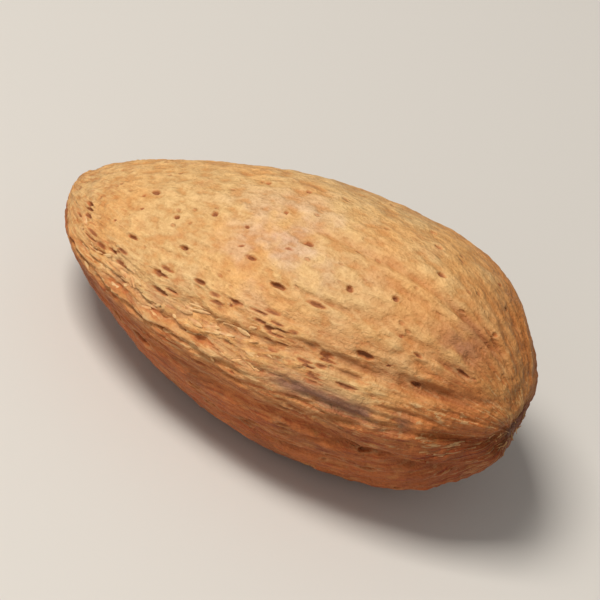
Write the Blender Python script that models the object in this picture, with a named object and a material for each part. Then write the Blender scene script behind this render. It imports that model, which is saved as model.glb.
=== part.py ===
"""An almond in its shell, as it lies on a table: one closed natural solid.

Frame: metres, +Z up. The length runs along X, from the pointed tip at -X to the stem end at +X.
The seam edge faces -Y and the round back +Y. The nut rests on a small flat spot at Z = 0,
and the middle of its box is over the origin.

A place on the shell is given by two angles. The station runs from 0 at the stem end to pi at
the tip. The bearing goes round the length: 0 along the seam, positive over the upper face,
negative under the lower one, and pi along the back.
"""

import math
import random
from typing import NamedTuple

import bmesh
import bpy
import numpy as np
from mathutils import Matrix, Vector

MM = 0.001

# Driving sizes of the smooth body
LENGTH = 37.0 * MM
SEAM_REACH = 10.2 * MM  # from the long axis to the seam edge, at mid length
BACK_REACH = 10.9 * MM  # from the long axis to the back, at mid length
THICKNESS = 19.1 * MM  # through both faces, at mid length
SEAM_SWELL = -0.17  # share by which each of those grows at the stem end and shrinks at the tip
BACK_SWELL = 0.46
FACE_SWELL = 0.28
TIP_TAPER = 0.14  # further share lost close to the tip
TIP_TAPER_POWER = 4
EDGE_SHARPNESS = 1.08  # 1 gives round edges, more gives a lens
SIDE_BLEND = 0.5  # cosine of the bearing over which the seam side passes into the back

# The way it lies: the stem end and the seam edge are a little raised
REST_PITCH = math.radians(7.0)
REST_ROLL = math.radians(-3.5)
REST_SPOT_DEPTH = 0.30 * MM  # height of the cap that the flat spot takes off

# The line of the seam bows towards the upper face near the stem end, and wavers
SEAM_BOW = math.radians(5.5)
SEAM_BOW_PLACE = 0.34  # share of the length from the stem end
SEAM_BOW_SPREAD = 0.22
SEAM_SETBACK = math.radians(1.5)  # how far the rest of it lies towards the lower face
SEAM_WAVER = 0.016
SEAM_WAVES = 23.0

# The seam edge: a keel with a fine split along its crest and a crease on either side
KEEL_HEIGHT = 0.50 * MM
KEEL_HALF_WIDTH = 1.6 * MM
SPLIT_DEPTH = 0.26 * MM
SPLIT_HALF_WIDTH = 0.34 * MM
CREASE_DEPTH = 0.38 * MM
CREASE_PLACE = 3.0 * MM  # from the crest to the middle of the crease
CREASE_HALF_WIDTH = 0.50 * MM
CREASE_FADE = 0.65  # share of its depth that is lost towards the tip
STEM_NOTCH_DEPTH = 0.55 * MM  # where the seam runs into the stem end
STEM_NOTCH_HALF_WIDTH = 0.95 * MM
STEM_STEP = 0.60 * MM  # the lower half's setback at the stem end
STEM_STEP_EDGE = 0.5 * MM
STEM_STEP_END = 0.12  # share of the length

# The back: a low ridge with a shallow groove along it
BACK_WAVER = 0.045
BACK_WAVES = 7.0
BACK_RIDGE_HEIGHT = 0.30 * MM
BACK_RIDGE_HALF_WIDTH = 1.9 * MM
BACK_GROOVE_DEPTH = 0.34 * MM
BACK_GROOVE_HALF_WIDTH = 0.55 * MM

# The stem scar: a ragged oval hollow across the stem end, and the small beak at the tip
SCAR_HALF_LENGTH = 3.1 * MM  # in the plane of the seam
SCAR_HALF_WIDTH = 1.9 * MM
SCAR_DEPTH = 0.80 * MM
SCAR_SETBACK = 1.5 * MM  # from the end of the long axis towards the back
SCAR_LIP = 0.12 * MM
SCAR_LIP_PLACE = 1.40  # in half lengths and half widths of the scar
SCAR_LIP_SPREAD = 0.25
SCAR_CRAGS = 7
SCAR_CRAG_REACH = 0.07
BEAK_HEIGHT = 0.22 * MM
BEAK_HALF_WIDTH = 1.9 * MM


class FurrowFan(NamedTuple):
    """Furrows that spread from one end of the nut over one face."""

    count: int
    first_bearing: float  # of the one nearest the seam, in degrees
    step: float  # from each to the next, in degrees
    jitter: float
    start: float  # share of the length from the stem end
    ends: tuple
    depths: tuple


# Furrows that fan out from the stem end, long beside the seam and short on the faces
FURROW_SEED = 11
BESIDE_SEAM = FurrowFan(7, 31.0, 7.0, 2.0, 0.015, (0.36, 0.70), (0.14 * MM, 0.30 * MM))
OVER_FACE = FurrowFan(10, 82.0, 9.5, 3.0, 0.015, (0.10, 0.26), (0.08 * MM, 0.20 * MM))
AT_TIP = FurrowFan(5, 18.0, 31.0, 8.0, 0.985, (0.80, 0.90), (0.08 * MM, 0.18 * MM))
FURROW_HALF_WIDTHS = (0.34 * MM, 0.54 * MM)
FURROW_SWAYS = (0.02, 0.06)
FURROW_WAVES = 8.0
FURROW_FULL_RADIUS = 6.5 * MM  # nearer to the long axis the furrows are finer
FURROW_LEAST_SHARE = 0.12

# Broad lumps
LUMP_SEED = 5
LUMP_WAVES = 9
LUMP_LENGTHS = (6.0 * MM, 15.0 * MM)
LUMP_HEIGHT = 0.030 * MM

# Pits: round pores on the faces and short slits beside the seam
PIT_SEED = 23
PIT_COUNT = 112
PIT_SPACING = 2.0 * MM
PIT_LEANS = (-0.88, 0.82)  # cosine of the station
PIT_HALF_WIDTHS = (0.15 * MM, 0.26 * MM)
PIT_DEPTHS = (0.30 * MM, 0.52 * MM)
PORE_STRETCHES = (1.0, 1.5)  # length over width
SLIT_STRETCHES = (2.2, 3.8)
KEEL_EDGE = math.radians(20.0)
SLIT_EDGE = math.radians(50.0)
BACK_EDGE = math.radians(172.0)
PIT_FREE_RADIUS = 4.6 * MM  # round the rest spot
PIT_SIDES = 6
PIT_MOUTH_ABOVE = 0.45 * MM  # how far each cutter stands out of the shell

# Rings and columns of the mesh; rings crowd together towards the ends, columns towards the seam
RINGS = 42
COLUMNS = 92
END_CROWDING = 0.16
SEAM_CROWDING = 0.30

SHELL_COLOUR = (0.60, 0.35, 0.16, 1.0)
SHELL_ROUGHNESS = 0.72
SHARP_ANGLE = math.radians(50.0)


def fade(low, high, value):
    """Rises smoothly from 0 at low to 1 at high."""
    t = np.clip((value - low) / (high - low), 0.0, 1.0)
    return t * t * (3.0 - 2.0 * t)


def ridge(distance, half_width):
    """A round-topped bump of height 1."""
    return np.exp(-((distance / half_width) ** 2))


def wrapped(angle):
    """The same angle between -pi and pi."""
    return (angle + math.pi) % (2 * math.pi) - math.pi


def along(station):
    """Share of the length from the stem end, 0, to the tip, 1."""
    return (1.0 - np.cos(station)) / 2.0


def smooth_body(station, bearing):
    """Points of the shell without its relief, with the long axis level."""
    lean, swing = np.cos(station), np.sin(station)
    girth = swing * (1.0 - TIP_TAPER * along(station) ** TIP_TAPER_POWER)
    to_seam = np.cos(bearing)
    seam_share = fade(-SIDE_BLEND, SIDE_BLEND, to_seam)
    reach = seam_share * SEAM_REACH * (1.0 + SEAM_SWELL * lean)
    reach = reach + (1.0 - seam_share) * BACK_REACH * (1.0 + BACK_SWELL * lean)
    rise = np.sign(np.sin(bearing)) * np.abs(np.sin(bearing)) ** EDGE_SHARPNESS
    x = LENGTH / 2 * lean
    y = -reach * girth * to_seam
    z = THICKNESS / 2 * (1.0 + FACE_SWELL * lean) * girth * rise
    return np.stack([x, y, z], axis=-1)


def outward(points):
    """Directions that point out of the smooth body, from the ellipsoid nearest to it."""
    width = (SEAM_REACH + BACK_REACH) / 2
    steep = points / np.array([LENGTH / 2, width, THICKNESS / 2]) ** 2
    return steep / np.linalg.norm(steep, axis=-1, keepdims=True)


def from_crest(share, bearing, radius):
    """Distance round the shell from the seam's crest, positive on the upper face."""
    crest = SEAM_BOW * ridge(share - SEAM_BOW_PLACE, SEAM_BOW_SPREAD) - SEAM_SETBACK
    crest = crest + SEAM_WAVER * np.sin(SEAM_WAVES * share)
    return radius * wrapped(bearing - crest)


def seam_relief(share, bearing, radius):
    """The keel, its split and creases, and the notch and step where it meets the stem end."""
    across = np.abs(from_crest(share, bearing, radius))
    tall = fade(0.0, 0.30, share) * (1.0 - fade(0.90, 1.0, share))
    keel = KEEL_HEIGHT * tall * ridge(across, KEEL_HALF_WIDTH)
    split = SPLIT_DEPTH * fade(0.02, 0.10, share) * ridge(across, SPLIT_HALF_WIDTH)
    deep = fade(0.02, 0.08, share) * (1.0 - CREASE_FADE * fade(0.35, 0.80, share))
    crease = CREASE_DEPTH * deep * ridge(across - CREASE_PLACE, CREASE_HALF_WIDTH)
    notch = STEM_NOTCH_DEPTH * fade(0.0, 0.008, share) * (1.0 - fade(0.02, 0.16, share))
    notch = notch * ridge(across, STEM_NOTCH_HALF_WIDTH)
    lower = fade(-STEM_STEP_EDGE, STEM_STEP_EDGE, -from_crest(share, bearing, radius))
    seamward = fade(0.5 * MM, 3.5 * MM, radius * np.cos(bearing))
    step = STEM_STEP * lower * seamward * (1.0 - fade(0.0, STEM_STEP_END, share))
    return keel - split - crease - notch - step


def back_relief(share, bearing, radius):
    """The low ridge and shallow groove along the back."""
    waver = BACK_WAVER * np.sin(BACK_WAVES * share + 2.0)
    across = radius * np.abs(wrapped(bearing - math.pi - waver))
    tall = fade(0.03, 0.25, share) * (1.0 - fade(0.75, 1.0, share))
    raised = BACK_RIDGE_HEIGHT * ridge(across, BACK_RIDGE_HALF_WIDTH)
    groove = BACK_GROOVE_DEPTH * ridge(across, BACK_GROOVE_HALF_WIDTH)
    return tall * (raised - groove)


def furrow_lines():
    """One (bearing, first share, last share, depth, half width, sway, phase) for each furrow."""
    draw = random.Random(FURROW_SEED)
    lines = []
    for face in (1, -1):
        for fan in (BESIDE_SEAM, OVER_FACE, AT_TIP):
            for n in range(fan.count):
                degrees = fan.first_bearing + fan.step * n + draw.uniform(-fan.jitter, fan.jitter)
                line = (
                    face * math.radians(degrees),
                    fan.start,
                    draw.uniform(*fan.ends),
                    draw.uniform(*fan.depths),
                    draw.uniform(*FURROW_HALF_WIDTHS),
                    draw.uniform(*FURROW_SWAYS),
                    draw.uniform(0.0, 2 * math.pi),
                )
                lines.append(line)
    return lines


def furrow_relief(share, bearing, radius):
    """Every furrow, narrower where they crowd together at the ends."""
    crowd = np.clip(radius / FURROW_FULL_RADIUS, FURROW_LEAST_SHARE, 1.0)
    relief = np.zeros_like(share)
    for middle, first, last, depth, half_width, sway, phase in furrow_lines():
        bend = sway * np.sin(FURROW_WAVES * share + phase)
        across = radius * wrapped(bearing - middle - bend)
        run = (share - first) / (last - first)
        strength = fade(0.0, 0.12, run) * (1.0 - fade(0.45, 1.0, run))
        relief -= depth * crowd * strength * ridge(across, half_width * crowd)
    return relief


def scar_relief(points):
    """The hollow where the stalk broke away, with a ragged lip."""
    along_seam = (points[..., 1] - SCAR_SETBACK) / SCAR_HALF_LENGTH
    across_seam = points[..., 2] / SCAR_HALF_WIDTH
    crag = 1.0 + SCAR_CRAG_REACH * np.sin(SCAR_CRAGS * np.arctan2(across_seam, along_seam))
    oval = crag * np.hypot(along_seam, across_seam)
    hollow = SCAR_DEPTH * (1.0 - fade(0.0, 1.3, oval))
    lip = SCAR_LIP * ridge(oval - SCAR_LIP_PLACE, SCAR_LIP_SPREAD)
    return np.where(points[..., 0] > 0, lip - hollow, 0.0)


def tip_relief(points):
    """The small beak at the tip."""
    pole = smooth_body(np.full(1, math.pi), np.zeros(1))[0]
    away = np.linalg.norm(points - pole, axis=-1)
    return BEAK_HEIGHT * ridge(away, BEAK_HALF_WIDTH)


def lump_relief(points):
    """Low swells of mixed lengths, so that no face is a perfect curve."""
    draw = random.Random(LUMP_SEED)
    relief = np.zeros(points.shape[:-1])
    for _ in range(LUMP_WAVES):
        heading = Vector([draw.gauss(0.0, 1.0) for _ in range(3)]).normalized()
        length = draw.uniform(*LUMP_LENGTHS)
        phase = draw.uniform(0.0, 2 * math.pi)
        relief += LUMP_HEIGHT * np.sin(
            points @ np.array(heading) * (2 * math.pi / length) + phase
        )
    return relief


def shell_points(station, bearing):
    """Points of the whole shell with its relief, with the long axis level."""
    smooth = smooth_body(station, bearing)
    share = along(station)
    radius = np.hypot(smooth[..., 1], smooth[..., 2])
    relief = (
        seam_relief(share, bearing, radius)
        + back_relief(share, bearing, radius)
        + furrow_relief(share, bearing, radius)
        + scar_relief(smooth)
        + tip_relief(smooth)
        + lump_relief(smooth)
    )
    return smooth + outward(smooth) * relief[..., None]


def laid_down():
    """The turn that takes the level nut to the way it lies."""
    return Matrix.Rotation(REST_ROLL, 3, "X") @ Matrix.Rotation(-REST_PITCH, 3, "Y")


def place_on(station, bearing):
    """A point of the shell, the way out of it there and the way towards the tip."""
    step = 0.004
    stations = np.array([station, station + step, station - step, station, station])
    bearings = np.array([bearing, bearing, bearing, bearing + step, bearing - step])
    points = [Vector(p) for p in smooth_body(stations, bearings)]
    to_tip = (points[1] - points[2]).normalized()
    normal = to_tip.cross(points[3] - points[4]).normalized()
    if normal.dot(points[0]) < 0:
        normal.negate()
    at = Vector(shell_points(stations[:1], bearings[:1])[0])
    return at, normal, to_tip


def pit_places(rest_point):
    """One (station, bearing, half width, stretch, depth) for each pit, clear of the rest spot."""
    draw = random.Random(PIT_SEED)
    pits, taken = [], []
    while len(pits) < PIT_COUNT:
        station = math.acos(draw.uniform(*PIT_LEANS))
        bearing = draw.uniform(-BACK_EDGE, BACK_EDGE)
        is_slit = abs(bearing) < SLIT_EDGE
        half_width = draw.uniform(*PIT_HALF_WIDTHS)
        stretch = draw.uniform(*(SLIT_STRETCHES if is_slit else PORE_STRETCHES))
        depth = draw.uniform(*PIT_DEPTHS)
        at = smooth_body(np.array([station]), np.array([bearing]))[0]
        crowded = any(np.linalg.norm(at - other) < PIT_SPACING for other in taken)
        under = np.linalg.norm(at - rest_point) < PIT_FREE_RADIUS
        if abs(bearing) < KEEL_EDGE or crowded or under:
            continue
        taken.append(at)
        pits.append((station, bearing, half_width, stretch, depth))
    return pits


def shell_material():
    material = bpy.data.materials.new("almond_shell")
    material.use_nodes = True
    surface = material.node_tree.nodes["Principled BSDF"]
    surface.inputs["Base Color"].default_value = SHELL_COLOUR
    surface.inputs["Roughness"].default_value = SHELL_ROUGHNESS
    surface.inputs["Metallic"].default_value = 0.0
    return material


def add_object(name, mesh, collection_name):
    collection = bpy.data.collections.get(collection_name)
    if collection is None:
        collection = bpy.data.collections.new(collection_name)
        bpy.context.scene.collection.children.link(collection)
    obj = bpy.data.objects.new(name, mesh)
    collection.objects.link(obj)
    return obj


def shell_mesh():
    """A round ball with its poles at the two ends, drawn out to the shape of the nut."""
    ball = bmesh.new()
    poles_along_x = Matrix.Rotation(math.radians(90), 4, "Y")
    bmesh.ops.create_uvsphere(
        ball, u_segments=COLUMNS, v_segments=RINGS, radius=1.0, matrix=poles_along_x
    )
    directions = np.array([v.co for v in ball.verts])
    station = np.arccos(np.clip(directions[:, 0], -1.0, 1.0))
    bearing = np.arctan2(directions[:, 2], -directions[:, 1])
    station = station - END_CROWDING * np.sin(2 * station)
    bearing = bearing - SEAM_CROWDING * np.sin(bearing)
    turned = shell_points(station, bearing) @ np.array(laid_down()).T
    floor = turned[:, 2].min() + REST_SPOT_DEPTH
    low, high = turned.min(axis=0), turned.max(axis=0)
    shift = Vector((-(low[0] + high[0]) / 2, -(low[1] + high[1]) / 2, -floor))
    for vertex, point in zip(ball.verts, turned):
        vertex.co = Vector(point) + shift
        vertex.co.z = max(vertex.co.z, 0.0)
    bmesh.ops.recalc_face_normals(ball, faces=ball.faces)
    mesh = bpy.data.meshes.new("almond_shell")
    ball.to_mesh(mesh)
    ball.free()
    rest_point = turned[turned[:, 2].argmin()] @ np.array(laid_down())
    return mesh, shift, rest_point


def pit_cutters(shift, rest_point):
    """Six-sided cones, points inwards, one in each pit."""
    cones = bmesh.new()
    turn = laid_down()
    for station, bearing, half_width, stretch, depth in pit_places(rest_point):
        at, normal, to_tip = place_on(station, bearing)
        at, normal, to_tip = turn @ at + shift, turn @ normal, turn @ to_tip
        across = normal.cross(to_tip).normalized()
        axes = Matrix((to_tip * stretch, across, normal)).transposed().to_4x4()
        middle = at + normal * (PIT_MOUTH_ABOVE - depth) / 2
        tall = PIT_MOUTH_ABOVE + depth
        bmesh.ops.create_cone(
            cones,
            cap_ends=True,
            segments=PIT_SIDES,
            radius1=0.0,
            radius2=half_width * tall / depth,
            depth=tall,
            matrix=Matrix.Translation(middle) @ axes,
        )
    bmesh.ops.recalc_face_normals(cones, faces=cones.faces)
    mesh = bpy.data.meshes.new("pit_cutters")
    cones.to_mesh(mesh)
    cones.free()
    return mesh


def build():
    for leftover in list(bpy.data.objects):
        bpy.data.objects.remove(leftover)

    mesh, shift, rest_point = shell_mesh()
    mesh.materials.append(shell_material())
    almond = add_object("almond", mesh, "almond")

    cutters = add_object("pit_cutters", pit_cutters(shift, rest_point), "cutters")
    cutters.hide_render = True
    cutters.display_type = "WIRE"

    pits = almond.modifiers.new("pits", "BOOLEAN")
    pits.operation = "DIFFERENCE"
    pits.solver = "EXACT"
    pits.object = cutters

    mesh.shade_smooth()
    mesh.set_sharp_from_angle(angle=SHARP_ANGLE)


build()
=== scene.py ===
"""The finished look of an almond in its shell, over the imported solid, on a pale table.

The length runs along X, from the tip at -X to the stem end at +X, and the seam faces -Y.
A place on the shell is given by two angles. The station runs from 0 at the stem end to pi at
the tip. The bearing goes round the length: 0 along the seam, positive over the upper face,
negative under the lower one, and pi along the back.
"""

import math
import random
from typing import NamedTuple

import bmesh
import bpy
import numpy as np
from mathutils import Matrix, Vector
from mathutils.kdtree import KDTree


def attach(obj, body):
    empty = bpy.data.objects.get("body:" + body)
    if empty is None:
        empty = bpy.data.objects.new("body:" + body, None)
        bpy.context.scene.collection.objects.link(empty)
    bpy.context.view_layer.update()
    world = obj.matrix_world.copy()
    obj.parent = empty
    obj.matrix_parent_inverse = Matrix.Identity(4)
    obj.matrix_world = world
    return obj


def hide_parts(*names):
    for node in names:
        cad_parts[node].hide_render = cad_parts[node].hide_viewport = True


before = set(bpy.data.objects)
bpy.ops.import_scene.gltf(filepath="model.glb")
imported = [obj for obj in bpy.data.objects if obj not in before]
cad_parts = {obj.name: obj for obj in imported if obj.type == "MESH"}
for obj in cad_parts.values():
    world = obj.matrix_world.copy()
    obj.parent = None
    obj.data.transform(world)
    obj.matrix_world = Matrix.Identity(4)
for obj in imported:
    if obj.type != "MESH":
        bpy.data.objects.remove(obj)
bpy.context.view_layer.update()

# The woody shell
# One closed shell that grew in two halves, joined along a keeled seam. It is dry, fibrous wood,
# drawn out here to its full form: body, keel, back ridge, furrows, stem scar and beak.

MM = 0.001
LENGTH = 37.0 * MM
SEAM_REACH = 10.2 * MM
BACK_REACH = 10.9 * MM
THICKNESS = 19.1 * MM
SEAM_SWELL = -0.17
BACK_SWELL = 0.46
FACE_SWELL = 0.28
TIP_TAPER = 0.14
TIP_TAPER_POWER = 4
EDGE_SHARPNESS = 1.08
SIDE_BLEND = 0.5
REST_PITCH = math.radians(7.0)
REST_ROLL = math.radians(-3.5)
REST_SPOT_DEPTH = 0.30 * MM


def fade(low, high, value):
    """Rises smoothly from 0 at low to 1 at high."""
    t = np.clip((value - low) / (high - low), 0.0, 1.0)
    return t * t * (3.0 - 2.0 * t)


def ridge(distance, half_width):
    """A round-topped bump of height 1."""
    return np.exp(-((distance / half_width) ** 2))


def wrapped(angle):
    """The same angle between -pi and pi."""
    return (angle + math.pi) % (2 * math.pi) - math.pi


def along(station):
    """Share of the length from the stem end, 0, to the tip, 1."""
    return (1.0 - np.cos(station)) / 2.0


def smooth_body(station, bearing):
    """Points of the shell without its relief, with the long axis level."""
    lean, swing = np.cos(station), np.sin(station)
    girth = swing * (1.0 - TIP_TAPER * along(station) ** TIP_TAPER_POWER)
    to_seam = np.cos(bearing)
    seam_share = fade(-SIDE_BLEND, SIDE_BLEND, to_seam)
    reach = seam_share * SEAM_REACH * (1.0 + SEAM_SWELL * lean)
    reach = reach + (1.0 - seam_share) * BACK_REACH * (1.0 + BACK_SWELL * lean)
    rise = np.sign(np.sin(bearing)) * np.abs(np.sin(bearing)) ** EDGE_SHARPNESS
    x = LENGTH / 2 * lean
    y = -reach * girth * to_seam
    z = THICKNESS / 2 * (1.0 + FACE_SWELL * lean) * girth * rise
    return np.stack([x, y, z], axis=-1)


def body_point(station, bearing):
    """One point of the smooth body."""
    return smooth_body(np.array([station]), np.array([bearing]))[0]


def outward(points):
    """Directions that point out of the smooth body, from the ellipsoid nearest to it."""
    width = (SEAM_REACH + BACK_REACH) / 2
    steep = points / np.array([LENGTH / 2, width, THICKNESS / 2]) ** 2
    return steep / np.linalg.norm(steep, axis=-1, keepdims=True)


# The seam's keel has a fine split along its crest and a crease on either side. From mid length
# nearly to the tip a thin, broken cord of twisted fibres stands just above the crest.

SEAM_BOW = math.radians(5.5)
SEAM_BOW_PLACE = 0.34
SEAM_BOW_SPREAD = 0.22
SEAM_SETBACK = math.radians(1.5)
SEAM_WAVER = 0.016
SEAM_WAVES = 23.0
KEEL_HEIGHT = 0.50 * MM
KEEL_HALF_WIDTH = 1.6 * MM
SPLIT_DEPTH = 0.26 * MM
SPLIT_HALF_WIDTH = 0.34 * MM
CREASE_DEPTH = 0.38 * MM
CREASE_PLACE = 3.0 * MM
CREASE_HALF_WIDTH = 0.50 * MM
CREASE_FADE = 0.65
STEM_NOTCH_DEPTH = 0.55 * MM
STEM_NOTCH_HALF_WIDTH = 0.95 * MM
STEM_STEP = 0.60 * MM
STEM_STEP_EDGE = 0.5 * MM
STEM_STEP_END = 0.12
STEM_STEP_RISE = (0.5 * MM, 3.5 * MM)  # how far to the seam's side it begins, and is whole
CORD_HEIGHT = 0.22 * MM
CORD_HALF_WIDTH = 0.20 * MM
CORD_RISE = 0.40 * MM
CORD_TWISTS = 23
CORD_SWAY = 0.07 * MM
CORD_FINE_SWAY = 0.05 * MM
CORD_BREAKS = 5.0
STRAND_SPACING = 0.20 * MM
TRENCH_PLACE = 0.65 * MM
TRENCH_HALF_WIDTH = 0.24 * MM


def from_crest(share, bearing, radius):
    """Distance round the shell from the seam's crest, positive on the upper face."""
    crest = SEAM_BOW * ridge(share - SEAM_BOW_PLACE, SEAM_BOW_SPREAD) - SEAM_SETBACK
    crest = crest + SEAM_WAVER * np.sin(SEAM_WAVES * share)
    return radius * wrapped(bearing - crest)


def seam_relief(share, bearing, radius):
    """The keel, its split and creases, and the notch and step where it meets the stem end."""
    across = np.abs(from_crest(share, bearing, radius))
    tall = fade(0.0, 0.30, share) * (1.0 - fade(0.90, 1.0, share))
    keel = KEEL_HEIGHT * tall * ridge(across, KEEL_HALF_WIDTH)
    split = SPLIT_DEPTH * fade(0.02, 0.10, share) * ridge(across, SPLIT_HALF_WIDTH)
    deep = fade(0.02, 0.08, share) * (1.0 - CREASE_FADE * fade(0.35, 0.80, share))
    crease = CREASE_DEPTH * deep * ridge(across - CREASE_PLACE, CREASE_HALF_WIDTH)
    notch = STEM_NOTCH_DEPTH * fade(0.0, 0.008, share) * (1.0 - fade(0.02, 0.16, share))
    notch = notch * ridge(across, STEM_NOTCH_HALF_WIDTH)
    lower = fade(-STEM_STEP_EDGE, STEM_STEP_EDGE, -from_crest(share, bearing, radius))
    seamward = fade(*STEM_STEP_RISE, radius * np.cos(bearing))
    step = STEM_STEP * lower * seamward * (1.0 - fade(0.0, STEM_STEP_END, share))
    return keel - split - crease - notch - step


def cord_relief(share, bearing, radius):
    """The thin broken cord that stands just above the crest towards the tip."""
    sway = CORD_SWAY * np.sin(61.0 * share) + CORD_FINE_SWAY * np.sin(137.0 * share + 1.0)
    side = from_crest(share, bearing, radius) - CORD_RISE - sway
    twist = CORD_TWISTS * share + 0.9 * np.sin(17.0 * share) + 0.5 * np.sin(41.0 * share)
    strand = np.sin(2 * math.pi * twist + side / STRAND_SPACING)
    broken = np.sin(2 * math.pi * (CORD_BREAKS * share + 0.6 * np.sin(9.0 * share)))
    present = fade(0.42, 0.56, share) * (1.0 - fade(0.88, 0.95, share)) * (0.55 + 0.45 * broken)
    cord = (1.0 + 0.35 * strand) * ridge(side, CORD_HALF_WIDTH)
    trench = 0.8 * ridge(side - TRENCH_PLACE, TRENCH_HALF_WIDTH) * (1.0 - 0.6 * strand)
    return CORD_HEIGHT * present * (cord - trench)


# The back has a low ridge with a shallow groove along it, where the two halves also meet.

BACK_WAVER = 0.045
BACK_WAVES = 7.0
BACK_RIDGE_HEIGHT = 0.30 * MM
BACK_RIDGE_HALF_WIDTH = 1.9 * MM
BACK_GROOVE_DEPTH = 0.34 * MM
BACK_GROOVE_HALF_WIDTH = 0.55 * MM


def from_back(share, bearing, radius):
    """Distance round the shell from the groove along the back, on either side."""
    waver = BACK_WAVER * np.sin(BACK_WAVES * share + 2.0)
    return radius * np.abs(wrapped(bearing - math.pi - waver))


def back_relief(share, bearing, radius):
    """The low ridge and shallow groove along the back."""
    across = from_back(share, bearing, radius)
    tall = fade(0.03, 0.25, share) * (1.0 - fade(0.75, 1.0, share))
    raised = BACK_RIDGE_HEIGHT * ridge(across, BACK_RIDGE_HALF_WIDTH)
    groove = BACK_GROOVE_DEPTH * ridge(across, BACK_GROOVE_HALF_WIDTH)
    return tall * (raised - groove)


# Furrows follow the wood's vessels: they fan out from the stem end, long beside the seam and
# short on the faces, and a few short ones from the tip. Many hair-fine ones lie between them.


class FurrowFan(NamedTuple):
    """Furrows that spread from one end of the nut over one face."""

    count: int
    first_bearing: float  # of the one nearest the seam, in degrees
    step: float  # from each to the next, in degrees
    jitter: float
    start: float  # share of the length from the stem end
    ends: tuple
    depths: tuple


FURROW_SEED = 11
BESIDE_SEAM = FurrowFan(7, 31.0, 7.0, 2.0, 0.015, (0.36, 0.70), (0.14 * MM, 0.30 * MM))
OVER_FACE = FurrowFan(10, 82.0, 9.5, 3.0, 0.015, (0.10, 0.26), (0.08 * MM, 0.20 * MM))
AT_TIP = FurrowFan(5, 18.0, 31.0, 8.0, 0.985, (0.80, 0.90), (0.08 * MM, 0.18 * MM))
FURROW_HALF_WIDTHS = (0.34 * MM, 0.54 * MM)
FURROW_SWAYS = (0.02, 0.06)
FURROW_WAVES = 8.0
FURROW_FULL_RADIUS = 6.5 * MM
FURROW_LEAST_SHARE = 0.12
FINE_FURROW_SEED = 41
FINE_FURROWS = 190
FINE_HALF_WIDTHS = (0.13 * MM, 0.22 * MM)
FINE_DEPTHS = (0.06 * MM, 0.15 * MM)
FINE_CROWDING = 1.7
FINE_SEAM_EDGE = math.radians(62)
FINE_EARLIEST = 0.01
FINE_SHORTEST = 0.05
FINE_NEAR_SEAM = (0.70, 0.22)  # latest start and longest run, in shares of the length
FINE_ELSEWHERE = (0.10, 0.16)
DEEPER_AT_STEM = 1.8
DEEPER_BEFORE = 0.25


def furrow_lines():
    """One (bearing, first share, last share, depth, half width, sway, phase) for each furrow."""
    draw = random.Random(FURROW_SEED)
    lines = []
    for face in (1, -1):
        for fan in (BESIDE_SEAM, OVER_FACE, AT_TIP):
            for n in range(fan.count):
                degrees = fan.first_bearing + fan.step * n + draw.uniform(-fan.jitter, fan.jitter)
                line = (
                    face * math.radians(degrees),
                    fan.start,
                    draw.uniform(*fan.ends),
                    draw.uniform(*fan.depths),
                    draw.uniform(*FURROW_HALF_WIDTHS),
                    draw.uniform(*FURROW_SWAYS),
                    draw.uniform(0.0, 2 * math.pi),
                )
                lines.append(line)
    return lines


def fine_furrow_lines():
    """The hair-fine furrows, crowded towards the seam and the stem end."""
    draw = random.Random(FINE_FURROW_SEED)
    lines = []
    for _ in range(FINE_FURROWS):
        bearing = draw.choice((1, -1)) * math.pi * draw.random() ** FINE_CROWDING
        near_seam = abs(bearing) < FINE_SEAM_EDGE
        latest, longest = FINE_NEAR_SEAM if near_seam else FINE_ELSEWHERE
        first = draw.uniform(FINE_EARLIEST, latest)
        deeper = DEEPER_AT_STEM if near_seam and first < DEEPER_BEFORE else 1.0
        line = (
            bearing,
            first,
            first + draw.uniform(FINE_SHORTEST, longest),
            draw.uniform(*FINE_DEPTHS) * deeper,
            draw.uniform(*FINE_HALF_WIDTHS),
            draw.uniform(*FURROW_SWAYS),
            draw.uniform(0.0, 2 * math.pi),
        )
        lines.append(line)
    return lines


def furrow_relief(lines, share, bearing, radius):
    """Every furrow, narrower where they crowd together at the ends."""
    crowd = np.clip(radius / FURROW_FULL_RADIUS, FURROW_LEAST_SHARE, 1.0)
    relief = np.zeros_like(share)
    for middle, first, last, depth, half_width, sway, phase in lines:
        bend = sway * np.sin(FURROW_WAVES * share + phase)
        across = radius * wrapped(bearing - middle - bend)
        run = (share - first) / (last - first)
        strength = fade(0.0, 0.12, run) * (1.0 - fade(0.45, 1.0, run))
        relief -= depth * crowd * strength * ridge(across, half_width * crowd)
    return relief


# The stem end has the scar where the stalk broke away, a ragged oval hollow across the seam,
# and the tip has a small blunt beak.

SCAR_HALF_LENGTH = 3.1 * MM
SCAR_HALF_WIDTH = 1.9 * MM
SCAR_DEPTH = 0.80 * MM
SCAR_SETBACK = 1.5 * MM
SCAR_LIP = 0.12 * MM
SCAR_LIP_PLACE = 1.40
SCAR_LIP_SPREAD = 0.25
SCAR_CRAGS = 7
SCAR_CRAG_REACH = 0.07
BEAK_HEIGHT = 0.22 * MM
BEAK_HALF_WIDTH = 1.9 * MM
ELSEWHERE = 9.0


def scar_reach(points):
    """0 in the middle of the scar, 1 at about its edge."""
    along_seam = (points[..., 1] - SCAR_SETBACK) / SCAR_HALF_LENGTH
    across_seam = points[..., 2] / SCAR_HALF_WIDTH
    crag = 1.0 + SCAR_CRAG_REACH * np.sin(SCAR_CRAGS * np.arctan2(across_seam, along_seam))
    return np.where(points[..., 0] > 0, crag * np.hypot(along_seam, across_seam), ELSEWHERE)


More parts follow.
